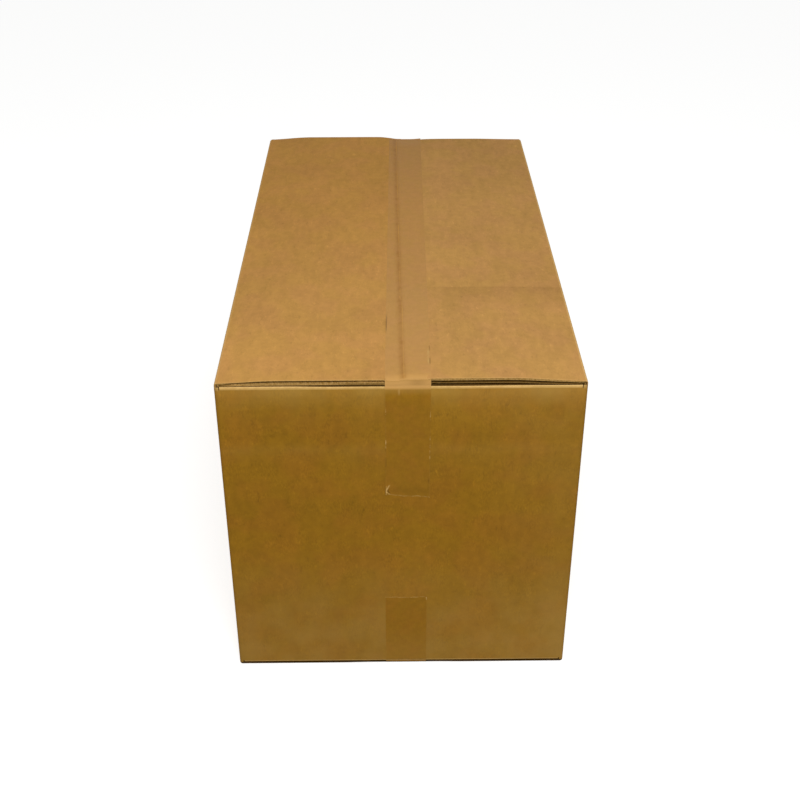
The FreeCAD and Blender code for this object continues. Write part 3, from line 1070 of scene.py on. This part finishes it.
def ragged(offset, seed):
    # how far a torn end runs past its line
    teeth = np.abs(((offset / 1.9 + 0.3 * np.sin(offset)) % 1) - 0.5) * 2
    return tape["tear"] * (0.55 * np.sin(offset * 0.19 + seed) + 0.3 * np.sin(offset * 0.61 + 2 * seed)
                           + 0.28 * (teeth - 0.5))


def tapePath(face, columns):
    # rows of the film's under side, from the front end to the back end, and how free they hang, which sets
    # the painted light on them
    edgeLevel = foldLevel["outer", face]
    leave = foldLevel["inner", face] - face * 0.9 * carton["foldRadius"]
    surface = tapeTopSurface if face == top else bottomRise
    bed = tape["bed"]
    onTop = float(face == top)
    rows = []
    for side in (-1, 1):
        x = columns + tapeCentre(face, side * halfLength)
        block = []
        for index, z in enumerate(legRows(tape["ends"][face][side], leave)):
            torn = face * ragged(columns, 1.3 + side + 2 * face)
            torn = torn + tape["endSlope"] * columns * (side < 0) * onTop
            level = z - torn * unit(1 - index / 7)
            y = endWallFace(x, level, side) + side * bed
            loose = 0.6 * onTop * unit(1 - (leave - z) / 1.6)
            block.append((stacked(x, y, level), loose + 0 * x))
        # over the step to the edge of the outer flaps
        edgeY = side * (flapEdge + bed) + 0 * x
        edgeZ = edgeLevel + surface(x, edgeY) + face * bed - onTop * (side < 0) * pressed(x, edgeY)
        start = block[-1][0]
        for share in np.linspace(0, 1, 11)[1:]:
            hollow = tape["stepSag"] * math.sin(math.pi * min(1, share / 0.55))
            hollow = hollow * (1 + 0.6 * waver(x, 0 * x, 4 + side, 30))
            y = start[:, 1] + (edgeY - start[:, 1]) * share - side * hollow
            z = start[:, 2] + (edgeZ - start[:, 2]) * share - face * hollow * 0.2
            loose = min(1, 0.6 + 3 * share) - 0.25 * smooth(share * 4 - 3)
            block.append((stacked(x, y, z), loose * onTop + 0 * x))
        if side > 0:
            rows += block[::-1]
            continue
        rows += block
        for place in run(-flapEdge + 0.8, 1.2, -flapEdge + 16, 3.0, -flapEdge + 70, 9.0, flapEdge - 45, 3.0,
                         flapEdge - 6, 1.5, flapEdge - 0.8):
            x = columns + tapeCentre(face, place)
            y = place + 0 * x
            z = edgeLevel + surface(x, y) + face * bed - onTop * pressed(x, y)
            hangs = bell(y + flapEdge, *filmLook["freeEdge"]) + ramp(y, *filmLook["freeFront"])
            rows.append((stacked(x, y, z), hangs * onTop))
    places, free = zip(*rows)
    return np.array(places), unit(np.array(free))


def liftOf(name, columns, walked):
    # how far each point of the film stands off
    total = np.zeros((len(walked), len(columns)))
    for side, start, end, height, reach in lifted[name]:
        alongShare = unit(1 - ((2 * walked - start - end) / (end - start)) ** 2)
        acrossShare = unit(1 - (tape["width"] / 2 - side * columns) / reach) ** 1.6
        total = np.maximum(total, height * alongShare[:, None] * acrossShare[None, :])
    return total


# Short painted highlights and painted shadows along the top tape's edges: side, from and to along it, how
# far in, how pale, how dark
edgeLines = [
    (-1, 248, 288, 0.3, 0.0, 0.6),
    (-1, 38, 52, 0.4, 0.0, 0.3),
    (1, 174, 211, 2.1, 0.8, 0.0),
    (1, 205, 218, 0.2, 0.0, 0.45),
    (1, 178, 190, 0.2, 0.0, 0.6),
    (1, 17, 24, 1.2, 0.0, 0.4),
]

# Looks of the film, in the way of boardLook
filmLook = {
    "freeEdge": (0, 8, 0.75),  # hangs free at the cut edges, with painted light on it
    "freeFront": (-120, -150, 0.14),  # and painted light on the top toward the front
    "pinkFront": 0.35,
    "yellowBack": (-250, 400, 0.75),
    # painted bounce light near the floor, and painted light round the top folds
    "footLight": (70, -60, 0.2),
    "edgeLight": (-12, 9, 0.38),  # round the top folds
    "underDim": 0.8,
    "backMore": 2.6,  # times the board's shade
    "seamHalf": 3.3,  # painted shade over the seam
    "seamAside": (0, 0.12, 0.9),  # strays left, by shares of the length
    "seamDrift": 2.2,  # and as a slope
    "seamFront": (0.1, -0.1, 0.4),  # darker at the front
    "stepDark": (10, 9, 0.24),  # dark place on the cut edges
    "endShade": (7, 5, 0.16),  # and near the torn end
    "cornerMiddle": 7.5,  # folded corner, along the film
    "cornerInset": 3.8,  # and in from the film's edge
    "cornerShadow": 0.75,
    "wrinkleHighlight": (-9.4, 0.7, 0.5),
    "wrinkleFrom": (382, 5),
}


def filmLooks(name, under, across, passed):
    # where the film gets painted highlights, painted shade and painted light
    x, y, z = (under[:, :, axis] for axis in range(3))
    look = filmLook
    wearAndHighlight = 0 * x
    hue = 0.5 + ramp(z, innerFold, 4) * (look["pinkFront"] - ramp(y, *look["yellowBack"]))
    if name == "bottomTape":
        dim = look["underDim"] * (z < 1.5) * (np.abs(y) < halfLength - 1.2)
        return {"wearAndHighlight": wearAndHighlight, "seamShade": wearAndHighlight, "dim": dim, "paintedLight": ramp(z, *look["footLight"]), "hue": hue}
    along = (y + halfLength) / (2 * halfLength)
    middle = seamAt - ramp(along, *look["seamAside"]) - look["seamDrift"] * along
    onTop = smooth((y + flapEdge) / 5) * smooth((flapEdge - y) / 5)
    seamShade = onTop * bell(x, middle, look["seamHalf"]) * (1 + ramp(along, *look["seamFront"]))
    atFront = y < 3 - flapEdge
    onStep = atFront * ramp(z, innerFold - 0.3, 2) * (1 - ramp(z, topFold + 1.2, 3))
    dim = np.maximum(onTop * backShade(y) * look["backMore"], onStep * bell(across, *look["stepDark"]))
    dim = np.maximum(dim, bell(passed, *look["endShade"]) * ramp(across, -20, 6))
    for side, start, end, inset, pale, dark in edgeLines:
        share = unit(1 - ((2 * passed - start - end) / (end - start)) ** 4)
        line = share * bell(side * across, tape["width"] / 2 - inset, 0.8)
        wearAndHighlight = wearAndHighlight + pale * line
        dim = np.maximum(dim, dark * line)
    # the folded corner: a painted highlight along its fold, and a painted shadow in the gap behind it
    fold = look["cornerInset"] * np.abs(passed / look["cornerMiddle"] - 1)
    inset = across + tape["width"] / 2
    corner = (y < 0) * unit((15.5 - passed) / 2)
    wearAndHighlight = wearAndHighlight + corner * bell(inset, fold + 0.3, 0.8)
    dim = np.maximum(dim, corner * bell(inset, fold + 2.1, 0.8, look["cornerShadow"]) * bell(passed, 6, 3.5))
    # painted highlight of a small wrinkle in the film
    wrinkleHighlight = bell(across, *look["wrinkleHighlight"]) * ramp(z, *look["wrinkleFrom"])
    wearAndHighlight = wearAndHighlight + wrinkleHighlight * atFront * (z < innerFold + 3)
    # painted light below the top folds
    paintedLight = ramp(z - innerFold, *look["edgeLight"]) * (np.abs(y) > flapEdge)
    return {"wearAndHighlight": wearAndHighlight, "seamShade": seamShade, "dim": dim, "paintedLight": paintedLight, "hue": hue}


def makeTape(name, node, face):
    columns = tapeColumns(face)
    under, free = tapePath(face, columns)
    rows, count = under.shape[:2]
    gaps = np.linalg.norm(np.diff(under, axis=0), axis=2).mean(axis=1)
    walked = np.concatenate([[0], np.cumsum(gaps)])
    numbers = np.arange(rows * count).reshape(rows, count)
    a, b = numbers[:-1, :-1], numbers[:-1, 1:]
    c, d = numbers[1:, 1:], numbers[1:, :-1]
    quads = stacked(a, b, c, d).reshape(-1, 4)
    if face == bottom:
        quads = quads[:, ::-1]
    places = under.reshape(-1, 3)
    normals = vertexNormals(places, quads)
    lift = liftOf(name, columns, walked)
    places = places + normals * lift.reshape(-1, 1)
    places[:, 1] = np.clip(places[:, 1], -filmReach, filmReach)
    places[:, 2] = np.clip(places[:, 2], None, filmTop)
    over = places + vertexNormals(places, quads) * tape["gauge"]
    across = columns[None, :] + 0 * walked[:, None]
    passed = walked[:, None] + 0 * across
    flat = stacked(across, passed, 0 * passed).reshape(-1, 3)
    fromEdge = tape["width"] / 2 - np.abs(across)
    fromEnd = np.minimum(passed, walked[-1] - passed)
    uneven = 0.8 + 0.35 * waver(across, 0 * across, 6, 16)
    # pale torn ends; a faint painted highlight along the edges, stronger where they lift
    wearAndHighlight = 0.1 * bell(fromEdge, 0, 0.5) + 0.85 * uneven * bell(fromEnd, 0, 0.7)
    wearAndHighlight = wearAndHighlight + bell(fromEdge, 0, 0.9) * unit(lift * 2.5)
    looks = filmLooks(name, under, across, passed)
    looks["wearAndHighlight"] = unit(wearAndHighlight + looks["wearAndHighlight"])
    looks["free"] = free
    marks = {mark: np.tile(values.ravel(), 2) for mark, values in looks.items()}
    total = len(places)
    faces = [tuple(quad) for quad in quads] + [tuple(quad[::-1] + total) for quad in quads]
    for a, b in rimEdges(quads):
        faces.append((b, a, a + total, b + total))
    made = makeMesh(name, np.concatenate([over, places]), faces, np.concatenate([flat, flat]), marks,
                    [tapeMaterial()])
    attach(made, "root")
    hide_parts(node)
    print(name, "ready:", len(faces), "faces")


makeCamera()
makeLight()
makeFloor()
makeCarton()
makeTape("topTape", "top_tape", top)
makeTape("bottomTape", "bottom_tape", bottom)
